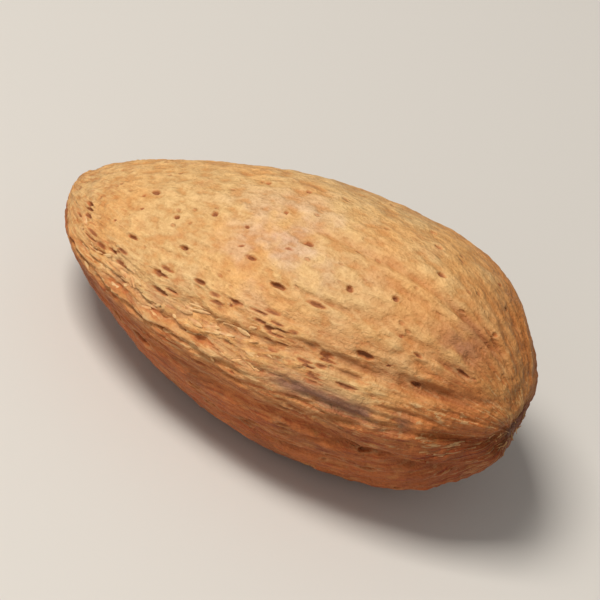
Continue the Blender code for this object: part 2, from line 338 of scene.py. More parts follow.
def scar_relief(points):
    """The hollow where the stalk broke away, with a ragged lip."""
    oval = scar_reach(points)
    hollow = SCAR_DEPTH * (1.0 - fade(0.0, 1.3, oval))
    return SCAR_LIP * ridge(oval - SCAR_LIP_PLACE, SCAR_LIP_SPREAD) - hollow


def tip_relief(points):
    """The small beak at the tip."""
    pole = body_point(math.pi, 0.0)
    away = np.linalg.norm(points - pole, axis=-1)
    return BEAK_HEIGHT * ridge(away, BEAK_HALF_WIDTH)


# Broad lumps, so that no face is a perfect curve.

LUMP_SEED = 5
LUMP_WAVES = 9
LUMP_LENGTHS = (6.0 * MM, 15.0 * MM)
LUMP_HEIGHT = 0.030 * MM


def lump_relief(points):
    """Low swells of mixed lengths."""
    draw = random.Random(LUMP_SEED)
    relief = np.zeros(points.shape[:-1])
    for _ in range(LUMP_WAVES):
        heading = Vector([draw.gauss(0.0, 1.0) for _ in range(3)]).normalized()
        length = draw.uniform(*LUMP_LENGTHS)
        phase = draw.uniform(0.0, 2 * math.pi)
        relief += LUMP_HEIGHT * np.sin(
            points @ np.array(heading) * (2 * math.pi / length) + phase
        )
    return relief


def main_relief(smooth, share, bearing, radius):
    """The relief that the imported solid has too."""
    return (
        seam_relief(share, bearing, radius)
        + back_relief(share, bearing, radius)
        + furrow_relief(furrow_lines(), share, bearing, radius)
        + scar_relief(smooth)
        + tip_relief(smooth)
        + lump_relief(smooth)
    )


def laid_down():
    """The turn that takes the level nut to the way it lies."""
    return Matrix.Rotation(REST_ROLL, 3, "X") @ Matrix.Rotation(-REST_PITCH, 3, "Y")


# Pits are the ends of vessels that fed the shell while it grew: small round pores on the faces,
# drawn out into slits beside the seam.

PIT_SEED = 23
PIT_COUNT = 112
PIT_SPACING = 2.0 * MM
PIT_LEANS = (-0.88, 0.82)
PIT_HALF_WIDTHS = (0.15 * MM, 0.26 * MM)
PIT_DEPTHS = (0.30 * MM, 0.52 * MM)
PORE_STRETCHES = (1.0, 1.5)
SLIT_STRETCHES = (2.2, 3.8)
KEEL_EDGE = math.radians(20.0)
SLIT_EDGE = math.radians(50.0)
BACK_EDGE = math.radians(172.0)
PIT_FREE_RADIUS = 4.6 * MM
STATION_STEP = 0.004  # radians, to find which way the length runs
SMALL_PORE_SEED = 77
SMALL_PORES = 80
SMALL_PORE_LEANS = (-0.86, 0.84)
SMALL_PORE_HALF_WIDTHS = (0.08 * MM, 0.13 * MM)
SMALL_PORE_STRETCHES = (1.0, 1.7)
SMALL_PORE_DEPTH = 0.14 * MM
SLIT_KNOTS = 20
KNOT_LEANS = (-0.90, 0.45)
KNOT_BEARINGS = (math.radians(11.0), math.radians(27.0))
KNOT_REACH = 0.9 * MM
KNOT_COUNTS = (1, 2, 2, 3)
KNOT_SPACING = 0.50 * MM
KNOT_JITTER = 0.08 * MM
KNOT_HALF_WIDTHS = (0.11 * MM, 0.15 * MM)
KNOT_STRETCHES = (4.0, 7.0)
KNOT_DEPTHS = (0.22 * MM, 0.36 * MM)


def pit_places(rest_point):
    """One (station, bearing, half width, stretch, depth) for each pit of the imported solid."""
    draw = random.Random(PIT_SEED)
    pits, taken = [], []
    while len(pits) < PIT_COUNT:
        station = math.acos(draw.uniform(*PIT_LEANS))
        bearing = draw.uniform(-BACK_EDGE, BACK_EDGE)
        is_slit = abs(bearing) < SLIT_EDGE
        half_width = draw.uniform(*PIT_HALF_WIDTHS)
        stretch = draw.uniform(*(SLIT_STRETCHES if is_slit else PORE_STRETCHES))
        depth = draw.uniform(*PIT_DEPTHS)
        at = body_point(station, bearing)
        crowded = any(np.linalg.norm(at - other) < PIT_SPACING for other in taken)
        under = np.linalg.norm(at - rest_point) < PIT_FREE_RADIUS
        if abs(bearing) < KEEL_EDGE or crowded or under:
            continue
        taken.append(at)
        pits.append((station, bearing, half_width, stretch, depth))
    return pits


def small_pore_places():
    """Finer pores between the pits, and knots of side-by-side slits close to the seam."""
    draw = random.Random(SMALL_PORE_SEED)
    pores = []
    for _ in range(SMALL_PORES):
        station = math.acos(draw.uniform(*SMALL_PORE_LEANS))
        bearing = draw.choice((1, -1)) * draw.uniform(KEEL_EDGE, BACK_EDGE)
        half_width = draw.uniform(*SMALL_PORE_HALF_WIDTHS)
        stretch = draw.uniform(*SMALL_PORE_STRETCHES)
        pores.append((station, bearing, half_width, stretch, SMALL_PORE_DEPTH))
    for _ in range(SLIT_KNOTS):
        station = math.acos(draw.uniform(*KNOT_LEANS))
        bearing = draw.choice((1, 1, 1, -1)) * draw.uniform(*KNOT_BEARINGS)
        radius = np.hypot(*body_point(station, bearing)[1:])
        for n in range(draw.choice(KNOT_COUNTS)):
            lengthwise = draw.uniform(-1.0, 1.0) * KNOT_REACH / (LENGTH / 2)
            sideways = (n * KNOT_SPACING + draw.uniform(-KNOT_JITTER, KNOT_JITTER)) / radius
            half_width = draw.uniform(*KNOT_HALF_WIDTHS)
            stretch = draw.uniform(*KNOT_STRETCHES)
            depth = draw.uniform(*KNOT_DEPTHS)
            pores.append((station + lengthwise, bearing + sideways, half_width, stretch, depth))
    return pores


# The mesh is a ball with its poles at the two ends, drawn out to the shape of the nut. Rings
# crowd towards the ends, columns towards the seam, and faces round the pits are cut finer.

RINGS = 234
COLUMNS = 316
END_CROWDING = 0.06
SEAM_CROWDING = 0.30
FINER_BEYOND_PIT = 0.30 * MM
SLIT_AHEAD = 0.01  # radians


def add_object(name, data):
    obj = bpy.data.objects.new(name, data)
    bpy.context.scene.collection.objects.link(obj)
    return obj


def store(mesh, name, values):
    """Keeps one value or vector for each point of the mesh."""
    values = np.ascontiguousarray(values, np.float32)
    is_vector = values.ndim == 2
    layer = mesh.attributes.new(name, "FLOAT_VECTOR" if is_vector else "FLOAT", "POINT")
    layer.data.foreach_set("vector" if is_vector else "value", values.ravel())


def angles_of(ball):
    """Station and bearing of every vertex of the ball."""
    directions = np.array([v.co for v in ball.verts])
    directions /= np.linalg.norm(directions, axis=1, keepdims=True)
    station = np.arccos(np.clip(directions[:, 0], -1.0, 1.0))
    bearing = np.arctan2(directions[:, 2], -directions[:, 1])
    return station - END_CROWDING * np.sin(2 * station), bearing - SEAM_CROWDING * np.sin(bearing)


def pit_finder(pits):
    """A tree of points in the middle and towards both ends of every pit, and their half widths."""
    marks = []
    for station, bearing, half_width, stretch, _ in pits:
        at = body_point(station, bearing)
        end = body_point(station + SLIT_AHEAD, bearing)
        reach = (end - at) / np.linalg.norm(end - at) * half_width * (stretch - 1.0)
        marks += [(at, half_width), (at + reach, half_width), (at - reach, half_width)]
    tree = KDTree(len(marks))
    for n, (at, _) in enumerate(marks):
        tree.insert(at, n)
    tree.balance()
    return tree, [half_width for _, half_width in marks]


def refine_near_pits(ball, pits):
    """Cuts every edge in half on the faces in or beside a pit."""
    places = smooth_body(*angles_of(ball))
    tree, half_widths = pit_finder(pits)
    edges = set()
    for face in ball.faces:
        centre = np.mean([places[v.index] for v in face.verts], axis=0)
        _, n, away = tree.find(centre)
        if away < half_widths[n] + FINER_BEYOND_PIT:
            edges.update(face.edges)
    bmesh.ops.subdivide_edges(ball, edges=list(edges), cuts=1, use_grid_fill=True)
    bmesh.ops.triangulate(ball, faces=[f for f in ball.faces if len(f.verts) > 4])


level_turn = np.array(laid_down())


def main_shape(station, bearing):
    """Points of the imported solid's shape as it lies, without the pits and the flat spot."""
    body = smooth_body(station, bearing)
    rise = main_relief(body, along(station), bearing, np.hypot(body[:, 1], body[:, 2]))
    return (body + outward(body) * rise[:, None]) @ level_turn.T


coarse = bmesh.new()
bmesh.ops.create_uvsphere(
    coarse,
    u_segments=COLUMNS,
    v_segments=RINGS,
    radius=1.0,
    matrix=Matrix.Rotation(math.radians(90), 4, "Y"),
)
coarse.verts.index_update()
turned = main_shape(*angles_of(coarse))
low, high = turned.min(axis=0), turned.max(axis=0)
shift = np.array([-(low[0] + high[0]) / 2, -(low[1] + high[1]) / 2, -(low[2] + REST_SPOT_DEPTH)])
rest_point = turned[turned[:, 2].argmin()] @ level_turn

pits = pit_places(rest_point)
refine_near_pits(coarse, pits)
station, bearing = angles_of(coarse)
share = along(station)
smooth = smooth_body(station, bearing)
radius = np.hypot(smooth[:, 1], smooth[:, 2])
relief = main_relief(smooth, share, bearing, radius)
relief += furrow_relief(fine_furrow_lines(), share, bearing, radius)
cord = cord_relief(share, bearing, radius)
shape = smooth + outward(smooth) * (relief + cord)[:, None]
placed = shape @ level_turn.T + shift
placed[:, 2] = np.maximum(placed[:, 2], 0.0)
for vertex, point in zip(coarse.verts, placed):
    vertex.co = point
bmesh.ops.recalc_face_normals(coarse, faces=coarse.faces)
shell_mesh = bpy.data.meshes.new("almond_shell")
coarse.to_mesh(shell_mesh)
coarse.free()

# What the surface is like in each place, kept on the mesh for the relief and the finish: furrows,
# cord, scar and stains, which side it is on, and where the outer layer peels or flakes.

FLAKED_PLACE = 1.9 * MM
FLAKED_HALF_WIDTH = 1.7 * MM
STAIN_PLACE = 0.35 * MM
STAIN_HALF_WIDTH = 0.75 * MM
SEAM_PEEL_HALF_WIDTH = 3.0 * MM
FACE_PEEL_PLACE = 3.6 * MM
FACE_PEEL_HALF_WIDTH = 2.6 * MM
FULL_FURROW = 0.34 * MM
SIDES_MEET_WITHIN = 2.5 * MM  # of the long axis, where neither side's colour rules
BRUISE_SHARE = 0.13
BRUISE_BEARING = math.radians(60.0)
BRUISE_HALF_WIDTH = 1.9 * MM
FILM_SHARE = 0.52
FILM_BEARING = math.radians(62.0)
FILM_HALF_WIDTH = 5.0 * MM

side = from_crest(share, bearing, radius)
crest = np.abs(side)
valley = -furrow_relief(furrow_lines() + fine_furrow_lines(), share, bearing, radius)
creased = ridge(crest - CREASE_PLACE, CREASE_HALF_WIDTH) * (1.0 - fade(0.35, 0.80, share))
peeling = (
    0.9 * ridge(crest, SEAM_PEEL_HALF_WIDTH)
    + 0.6 * ridge(side - FACE_PEEL_PLACE, FACE_PEEL_HALF_WIDTH)
    + 0.6 * (1.0 - fade(0.02, 0.20, share))
    + 0.15 * fade(0.90, 0.99, share)
)
flaked = ridge(side - FLAKED_PLACE, FLAKED_HALF_WIDTH) * fade(0.26, 0.40, share)
flaked = flaked * (1.0 - 0.8 * fade(0.84, 0.95, share))
stained = ridge(side - STAIN_PLACE, STAIN_HALF_WIDTH) * fade(0.13, 0.18, share)
stained = stained * (1.0 - fade(0.37, 0.46, share))


def spot_at(spot_share, spot_bearing, half_width):
    """A round patch on the shell."""
    at = body_point(math.acos(1.0 - 2.0 * spot_share), spot_bearing)
    return ridge(np.linalg.norm(smooth - at, axis=1), half_width)


bruised = spot_at(BRUISE_SHARE, BRUISE_BEARING, BRUISE_HALF_WIDTH)
filmed = spot_at(FILM_SHARE, FILM_BEARING, FILM_HALF_WIDTH)
scar = 1.0 - fade(0.30, 1.15, scar_reach(smooth))
fibre_sway = 0.04 * np.sin(14.0 * share + 3.0 * bearing)
fibre_sway += 0.02 * np.sin(31.0 * share - 5.0 * bearing)
MEAN_RADIUS = 10.0  # millimetres
turned_by = bearing + fibre_sway
fibre_at = [MEAN_RADIUS * np.cos(turned_by), MEAN_RADIUS * np.sin(turned_by), share * LENGTH / MM]
store(shell_mesh, "fibre_at", np.stack(fibre_at, axis=-1))
for name, values in (
    ("furrow", np.clip(valley / FULL_FURROW + 0.8 * creased, 0.0, 1.2)),
    ("cord", np.clip(cord / CORD_HEIGHT, -1.0, 1.5)),
    ("scar", scar),
    ("flaked", flaked),
    ("stained", stained),
    ("bruised", bruised),
    ("filmed", filmed),
    ("side", np.sin(bearing) * fade(0.0, SIDES_MEET_WITHIN, radius)),
    ("toward_back", (1.0 - np.cos(bearing)) / 2),
    ("share", share),
    ("peeling", np.clip(peeling, 0.0, 1.0)),
):
    store(shell_mesh, name, values)
shell_mesh.shade_smooth()
shell = add_object("almond_shell", shell_mesh)


# Pores and skin
# Each pit sinks into the shell with a slightly raised lip. The skin between is granular, like
# fine cork, and by the seam and the ends its outer layers have peeled off in steps.


def pore_points(places):
    """A cloud of loose points, one in each pore, that carries the pore's sizes and direction."""
    cloud = bpy.data.meshes.new("pores")
    stations, bearings, half_widths, stretches, depths = map(np.array, zip(*places))
    ahead = main_shape(stations + STATION_STEP, bearings)
    heading = ahead - main_shape(stations - STATION_STEP, bearings)
    heading /= np.linalg.norm(heading, axis=1, keepdims=True)
    cloud.from_pydata((main_shape(stations, bearings) + shift).tolist(), [], [])
    store(cloud, "heading", heading)
    store(cloud, "half_width", half_widths)
    store(cloud, "stretch", stretches)
    store(cloud, "depth", depths)
    return cloud


pores = add_object("pores", pore_points(pits + small_pore_places()))


def add_node(tree, kind, feeds=None, **settings):
    """One node with its settings; feeds links or sets its inputs, by name or by number."""
    made = tree.nodes.new(kind)
    for name, value in settings.items():
        setattr(made, name, value)
    for socket, value in (feeds or {}).items():
        if isinstance(value, bpy.types.NodeSocket):
            tree.links.new(value, made.inputs[socket])
        else:
            made.inputs[socket].default_value = value
    return made


def math_of(tree, operation, *values):
    return add_node(tree, "ShaderNodeMath", dict(enumerate(values)), operation=operation).outputs[0]


def chain_of(tree, operation, result, *others):
    """The first value taken with each of the others in turn."""
    for value in others:
        result = math_of(tree, operation, result, value)
    return result


def vector_of(tree, operation, *values):
    feeds = dict(zip((0, "Scale") if operation == "SCALE" else (0, 1, 2), values))
    made = add_node(tree, "ShaderNodeVectorMath", feeds, operation=operation)
    return made.outputs["Value" if operation in ("DOT_PRODUCT", "LENGTH", "DISTANCE") else "Vector"]


def eased(tree, value, low, high, floor=0.0, top=1.0):
    """Goes smoothly from floor, where the value is low, to top, where it is high."""
    feeds = {"Value": value, "From Min": low, "From Max": high, "To Min": floor, "To Max": top}
    return add_node(tree, "ShaderNodeMapRange", feeds, interpolation_type="SMOOTHSTEP").outputs[0]


def noise_of(tree, vector, scale, detail=2.0, roughness=0.5, distortion=0.0):
    feeds = {"Vector": vector, "Scale": scale, "Detail": detail, "Roughness": roughness}
    feeds["Distortion"] = distortion
    return add_node(tree, "ShaderNodeTexNoise", feeds).outputs[0]


def named(tree, name, kind="FLOAT"):
    made = add_node(tree, "GeometryNodeInputNamedAttribute", data_type=kind)
    made.inputs["Name"].default_value = name
    return made.outputs["Attribute"]


def new_geometry_tree(name, values):
    """A tree with a Geometry input and output, and one named input for each of the values."""
    tree = bpy.data.node_groups.new(name, "GeometryNodeTree")
    tree.interface.new_socket("Geometry", in_out="INPUT", socket_type="NodeSocketGeometry")
    for title, value in values.items():
        kind = "NodeSocket" + type(value).__name__.capitalize()
        tree.interface.new_socket(title, in_out="INPUT", socket_type=kind)
    tree.interface.new_socket("Geometry", in_out="OUTPUT", socket_type="NodeSocketGeometry")
    return tree, tree.nodes.new("NodeGroupInput").outputs


def end_tree(tree, body, material):
    """Realize Instances and Set Material, and then the tree's output."""
    body = add_node(tree, "GeometryNodeRealizeInstances", {0: body}).outputs[0]
    feeds = {"Geometry": body, "Material": material}
    body = add_node(tree, "GeometryNodeSetMaterial", feeds).outputs[0]
    tree.links.new(body, tree.nodes.new("NodeGroupOutput").inputs["Geometry"])


def run_tree(obj, tree, values):
    """The tree's result on obj as a plain mesh. values sets the tree's named inputs."""
    modifier = obj.modifiers.new(tree.name, "NODES")
    modifier.node_group = tree
    for item in tree.interface.items_tree:
        if item.in_out == "INPUT" and item.name in values:
            modifier[item.identifier] = values[item.name]
    bpy.context.view_layer.update()
    graph = bpy.context.evaluated_depsgraph_get()
    made = bpy.data.meshes.new_from_object(obj.evaluated_get(graph))
    obj.modifiers.remove(modifier)
    return made


GRAIN_DRAWN_OUT = (0.55, 1.0, 1.0)  # along the nut
GRAINS_PER_METRE = 1150.0
PEBBLES_PER_METRE = 1350.0


def surface_tree(values):
    """Sinks the pores, steps the peeling layers and roughens the skin."""
    tree, given = new_geometry_tree("shell_surface", values)
    position = tree.nodes.new("GeometryNodeInputPosition").outputs[0]
    normal = tree.nodes.new("GeometryNodeInputNormal").outputs[0]
    fibre = named(tree, "fibre_at", "FLOAT_VECTOR")

    cloud = add_node(tree, "GeometryNodeObjectInfo", {"Object": given["Pores"]})
    cloud = cloud.outputs["Geometry"]
    nearest = add_node(tree, "GeometryNodeSampleNearest", {"Geometry": cloud}).outputs[0]

    def of_pore(value, kind="FLOAT"):
        feeds = {"Geometry": cloud, "Value": value, "Index": nearest}
        return add_node(tree, "GeometryNodeSampleIndex", feeds, data_type=kind).outputs[0]

    offset = vector_of(tree, "SUBTRACT", position, of_pore(position, "FLOAT_VECTOR"))
    heading = of_pore(named(tree, "heading", "FLOAT_VECTOR"), "FLOAT_VECTOR")
    lengthwise = vector_of(tree, "DOT_PRODUCT", offset, heading)
    away = vector_of(tree, "LENGTH", offset)
    crosswise = math_of(tree, "POWER", lengthwise, 2.0)
    crosswise = math_of(tree, "SUBTRACT", math_of(tree, "POWER", away, 2.0), crosswise)
    crosswise = math_of(tree, "MAXIMUM", crosswise, 0.0)
    half_width = of_pore(named(tree, "half_width"))
    long_half = math_of(tree, "MULTIPLY", half_width, of_pore(named(tree, "stretch")))
    oval = math_of(tree, "POWER", math_of(tree, "DIVIDE", lengthwise, long_half), 2.0)
    narrow = math_of(tree, "DIVIDE", crosswise, math_of(tree, "POWER", half_width, 2.0))
    oval = math_of(tree, "SQRT", math_of(tree, "ADD", oval, narrow))
    ragged = math_of(tree, "SUBTRACT", noise_of(tree, fibre, 2.6, detail=1.0), 0.5)
    oval = math_of(tree, "MULTIPLY_ADD", ragged, 1.0, oval)
    pit = eased(tree, oval, 1.25, 0.20)
    lip = math_of(tree, "MULTIPLY", eased(tree, oval, 0.85, 1.25), eased(tree, oval, 2.0, 1.25))
    sunk = chain_of(tree, "MULTIPLY", pit, of_pore(named(tree, "depth")), given["Pit Depth"])
    raised = math_of(tree, "MULTIPLY", lip, given["Lip Height"])

    layered = vector_of(tree, "MULTIPLY", fibre, (1.0, 1.0, 0.22))
    layers = noise_of(tree, layered, 0.62, detail=3.0, roughness=0.58)
    layers = math_of(tree, "MULTIPLY", layers, given["Peel Steps"])
    torn = math_of(tree, "FRACT", layers)
    stepped = math_of(tree, "ADD", math_of(tree, "FLOOR", layers), eased(tree, torn, 0.82, 1.0))
    stepped = math_of(tree, "DIVIDE", stepped, given["Peel Steps"])
    stepped = math_of(tree, "SUBTRACT", stepped, 0.55)
    stepped = chain_of(tree, "MULTIPLY", stepped, given["Peel Height"], named(tree, "peeling"))

    plated = vector_of(tree, "MULTIPLY", fibre, (1.0, 1.0, 0.38))
    plates = noise_of(tree, plated, 1.05, detail=2.0, roughness=0.60, distortion=0.6)
    plates = math_of(tree, "ABSOLUTE", math_of(tree, "SUBTRACT", plates, 0.5))
    cracks = math_of(tree, "MULTIPLY", eased(tree, plates, 0.085, 0.0), named(tree, "flaked"))
    plates = eased(tree, plates, 0.0, 0.20, -0.5, 0.5)
    plates = chain_of(tree, "MULTIPLY", plates, named(tree, "flaked"), given["Flake Height"])

    drawn_out = vector_of(tree, "MULTIPLY", position, GRAIN_DRAWN_OUT)
    grains = noise_of(tree, drawn_out, GRAINS_PER_METRE, detail=3.0, roughness=0.62)
    grains = math_of(tree, "SUBTRACT", grains, 0.5)
    roughened = math_of(tree, "MULTIPLY", grains, given["Grain Height"])
    feeds = {"Vector": drawn_out, "Scale": PEBBLES_PER_METRE, "Smoothness": 0.35}
    pebbles = add_node(tree, "ShaderNodeTexVoronoi", feeds, feature="SMOOTH_F1").outputs["Distance"]
    pebbled = math_of(tree, "MULTIPLY", eased(tree, pebbles, 0.65, 0.15), given["Pebble Height"])

    rise = math_of(tree, "SUBTRACT", math_of(tree, "ADD", raised, stepped), sunk)
    rise = math_of(tree, "ADD", rise, math_of(tree, "ADD", roughened, pebbled))
    rise = math_of(tree, "ADD", rise, plates)
    move = vector_of(tree, "SCALE", normal, rise)

    body = given["Geometry"]
    for name, value in (
        ("pore", pit),
        ("lip", lip),
        ("torn", torn),
        ("cracks", cracks),
        ("grains", grains),
    ):
        feeds = {"Geometry": body, "Name": name, "Value": value}
        body = add_node(tree, "GeometryNodeStoreNamedAttribute", feeds, data_type="FLOAT").outputs[0]
    body = add_node(tree, "GeometryNodeSetPosition", {"Geometry": body, "Offset": move}).outputs[0]
    apart = add_node(tree, "ShaderNodeSeparateXYZ", {0: position})
    level = math_of(tree, "MAXIMUM", apart.outputs["Z"], 0.0)
    feeds = {"X": apart.outputs["X"], "Y": apart.outputs["Y"], "Z": level}
    grounded = add_node(tree, "ShaderNodeCombineXYZ", feeds).outputs[0]
    body = add_node(tree, "GeometryNodeSetPosition", {"Geometry": body, "Position": grounded}).outputs[0]
    end_tree(tree, body, given["Surface Material"])
    return tree


# The shell's finish
# Dry wood with a pale, dusty skin: golden where it is whole, orange brown where it has worn off
# at the edges, furrows and seam, redder below the seam (partly its own colour, partly painted shade),
# darker at the stem end with painted shade, dark blotches below, brown pores with painted highlights on
# their lips, and a dull stain.


def new_group(name, inputs, outputs):
    """A shader group with named inputs, (name, kind, value), and named outputs, (name, kind)."""
    tree = bpy.data.node_groups.new(name, "ShaderNodeTree")
    for title, kind, value in inputs:
        socket = tree.interface.new_socket(title, in_out="INPUT", socket_type="NodeSocket" + kind)
        if value is not None:
            socket.default_value = value
    for title, kind in outputs:
        tree.interface.new_socket(title, in_out="OUTPUT", socket_type="NodeSocket" + kind)
    given, result = tree.nodes.new("NodeGroupInput"), tree.nodes.new("NodeGroupOutput")
    return tree, given.outputs, result.inputs


def new_material(name):
    """A material, its node tree and its Principled BSDF."""
    material = bpy.data.materials.new(name)
    material.use_nodes = True
    return material, material.node_tree, material.node_tree.nodes["Principled BSDF"]


def laid_over(tree, amount, under, over, mode="MIX"):
    """One colour over another. amount, under and over are sockets or plain values."""
    feeds = {0: amount, 6: under, 7: over}
    made = add_node(tree, "ShaderNodeMix", feeds, data_type="RGBA", blend_type=mode)
    return made.outputs[2]


def wood_fibre_group():
    """Fine lengthwise fibres, as a value for colour, pale flecks and a height for bump."""
    tree, given, result = new_group(
        "wood_fibre",
        [("Place", "Vector", None), ("Fineness", "Float", 4.0)],
        [("Streaks", "Float"), ("Flecks", "Float"), ("Height", "Float")],
    )
    place = vector_of(tree, "MULTIPLY", given["Place"], (1.0, 1.0, 0.14))
    wobble = add_node(tree, "ShaderNodeTexNoise", {"Vector": place, "Scale": 0.8, "Detail": 2.0})
    bent = vector_of(tree, "SUBTRACT", wobble.outputs["Color"], (0.5, 0.5, 0.5))
    bent = vector_of(tree, "MULTIPLY_ADD", bent, (0.9, 0.9, 0.5), place)
    broad = noise_of(tree, bent, given["Fineness"], detail=3.0, roughness=0.65)
    finer = math_of(tree, "MULTIPLY", given["Fineness"], 3.1)
    narrow = noise_of(tree, bent, finer, detail=3.0, roughness=0.7)
    streaks = math_of(tree, "MULTIPLY_ADD", narrow, 0.4, math_of(tree, "MULTIPLY", broad, 0.6))
    flecks = eased(tree, narrow, 0.60, 0.74)
    tree.links.new(eased(tree, streaks, 0.34, 0.66), result["Streaks"])
    tree.links.new(flecks, result["Flecks"])
    height = math_of(tree, "MULTIPLY_ADD", flecks, 0.15, streaks)
    tree.links.new(height, result["Height"])
    return tree


wood_fibre = wood_fibre_group()

STRAW_SKIN = (0.63, 0.410, 0.187, 1.0)
GOLD_SKIN = (0.65, 0.360, 0.135, 1.0)
ORANGE_WOOD = (0.60, 0.262, 0.078, 1.0)
RED_WOOD = (0.42, 0.105, 0.021, 1.0)
DARK_WOOD = (0.17, 0.055, 0.018, 1.0)
PORE_BROWN = (0.27, 0.095, 0.034, 1.0)
GREY_FILM = (0.58, 0.40, 0.29, 1.0)
SEAM_STAIN = (0.20, 0.090, 0.060, 1.0)
DULL_BROWN = (0.30, 0.120, 0.060, 1.0)
LOW_TINT = (0.82, 0.74, 0.63, 1.0)
HIGH_TINT = (1.10, 1.10, 1.08, 1.0)
CLOUDS_PER_METRE = 190.0
FILM_PATCHES_PER_METRE = 330.0
PATCHES_PER_METRE = 480.0
DOTS_PER_METRE = 1050.0
MOTTLES_PER_METRE = 1150.0
SPECKLES_PER_METRE = 4200.0
SHELL_SPECULAR = 0.32
FINE_RELIEF = 0.26 * MM


def shell_material():
    material, tree, surface = new_material("almond_shell")

    def told(name, vector=False):
        made = add_node(tree, "ShaderNodeAttribute", attribute_name=name)
        return made.outputs["Vector" if vector else "Fac"]

    def times(*values):
        return chain_of(tree, "MULTIPLY", *values)

    where = add_node(tree, "ShaderNodeTexCoord").outputs["Object"]
    drawn_out = vector_of(tree, "MULTIPLY", where, GRAIN_DRAWN_OUT)
    fibre = add_node(tree, "ShaderNodeGroup", node_tree=wood_fibre)
    tree.links.new(told("fibre_at", vector=True), fibre.inputs["Place"])
    fibre.inputs["Fineness"].default_value = 2.6
    furrow, scar, cord = told("furrow"), told("scar"), told("cord")
    side, share, pore, lip = told("side"), told("share"), told("pore"), told("lip")
    back, peeling, torn, grains = told("toward_back"), told("peeling"), told("torn"), told("grains")

    def mask(value, *ends):
        return eased(tree, value, *ends)

    def cover(amount, hue, mode="MIX"):
        nonlocal colour
        colour = laid_over(tree, amount, colour, hue, mode)

    cloudy = noise_of(tree, where, CLOUDS_PER_METRE, detail=3.0, roughness=0.55)
    patchy = noise_of(tree, drawn_out, PATCHES_PER_METRE, detail=4.0, roughness=0.62)
    mottle = noise_of(tree, drawn_out, MOTTLES_PER_METRE, detail=5.0, roughness=0.66)
    speckle = noise_of(tree, where, SPECKLES_PER_METRE, detail=2.0, roughness=0.6)
    feeds = {"Vector": drawn_out, "Scale": DOTS_PER_METRE}
    dots = add_node(tree, "ShaderNodeTexVoronoi", feeds).outputs["Distance"]
    dots = times(mask(dots, 0.20, 0.08), mask(patchy, 0.44, 0.52))

    # Whole skin, the parts of it that have worn off, and the lower face, redder in part with painted
    # shade
    colour = laid_over(tree, mask(cloudy, 0.36, 0.62), GOLD_SKIN, STRAW_SKIN)
    by_seam, by_back = mask(side, 0.36, -0.18, 0.0, 0.80), mask(back, 0.60, 0.84, 0.0, 0.70)
    by_stem, by_tip = mask(share, 0.34, 0.04, 0.0, 0.72), mask(share, 0.90, 1.0, 0.0, 0.22)
    worn = chain_of(tree, "ADD", by_seam, by_stem, by_back, by_tip)
    worn = math_of(tree, "MULTIPLY_ADD", math_of(tree, "SUBTRACT", patchy, 0.5), 1.8, worn)
    cover(mask(worn, 0.15, 1.05), ORANGE_WOOD)
    # Redder over the lower face: partly the wood's own colour, partly painted shade.
    cover(mask(side, 0.22, -0.45, 0.0, 0.86), RED_WOOD)
    # Dark blotches, drawn out along the fibres, over the lower face.
    lower_blotches = vector_of(tree, "MULTIPLY", told("fibre_at", vector=True), (1.0, 1.0, 0.35))
    lower_blotches = mask(noise_of(tree, lower_blotches, 0.75, detail=4.0, roughness=0.65), 0.54, 0.40)
    cover(times(lower_blotches, mask(side, 0.15, -0.35), 0.45), DARK_WOOD)
    cover(times(mask(share, 0.26, 0.05, 0.0, 0.60), mask(side, 0.80, 0.30)), RED_WOOD)
    film = mask(noise_of(tree, where, FILM_PATCHES_PER_METRE, detail=3.0), 0.42, 0.62)
    cover(times(told("filmed"), film, 0.75), GREY_FILM)

    # Mottling, from broad to fine, and painted shade at the stem end
    tint = laid_over(tree, mask(mottle, 0.34, 0.64), LOW_TINT, HIGH_TINT)
    cover(0.95, tint, "MULTIPLY")
    cover(mask(grains, -0.01, -0.15, 0.0, 0.45), ORANGE_WOOD)
    cover(mask(patchy, 0.42, 0.28, 0.0, 0.28), RED_WOOD)
    cover(times(dots, 0.45), RED_WOOD)
    # Darker towards the stem end: painted shade.
    cover(mask(share, 0.20, 0.03, 0.0, 0.80), LOW_TINT, "MULTIPLY")
    dust = laid_over(tree, mask(speckle, 0.36, 0.64), LOW_TINT, HIGH_TINT)
    cover(0.45, dust, "MULTIPLY")

    # Fibres, torn edges, furrows, cracks and cord
    fibrous = math_of(tree, "MULTIPLY_ADD", peeling, 0.30, mask(side, 0.3, -0.3, 0.10, 0.70))
    cover(times(mask(fibre.outputs["Streaks"], 0.60, 0.0), fibrous), ORANGE_WOOD, "MULTIPLY")
    cover(times(fibre.outputs["Flecks"], fibrous, 0.55), STRAW_SKIN)
    cover(times(mask(torn, 0.70, 0.95), peeling, 0.62), STRAW_SKIN)
    cover(times(mask(torn, 0.22, 0.02), peeling, 0.55), RED_WOOD)
    cover(times(furrow, 0.36), RED_WOOD)
    cover(mask(furrow, 0.65, 1.20, 0.0, 0.32), DARK_WOOD)
    cover(times(told("cracks"), 0.45), DULL_BROWN)
    cover(mask(cord, 0.25, 0.95, 0.0, 0.55), STRAW_SKIN)
    cover(mask(cord, -0.10, -0.7, 0.0, 0.60), RED_WOOD)

    # Stains, scar and pores, with a painted highlight on the pores' lips
    blotched = times(mask(patchy, 0.36, 0.54), mask(mottle, 0.30, 0.50, 0.45, 1.0))
    cover(times(told("stained"), blotched, 0.90), SEAM_STAIN)
    cover(times(told("bruised"), blotched, 0.75), DULL_BROWN)
    cover(times(scar, 0.80), DARK_WOOD)
    # A paler lip round each pore: painted highlight.
    cover(times(lip, 0.22), STRAW_SKIN)
    cover(mask(pore, 0.0, 0.40, 0.0, 0.58), RED_WOOD)
    cover(mask(pore, 0.22, 0.78, 0.0, 0.92), PORE_BROWN)
    tree.links.new(colour, surface.inputs["Base Color"])

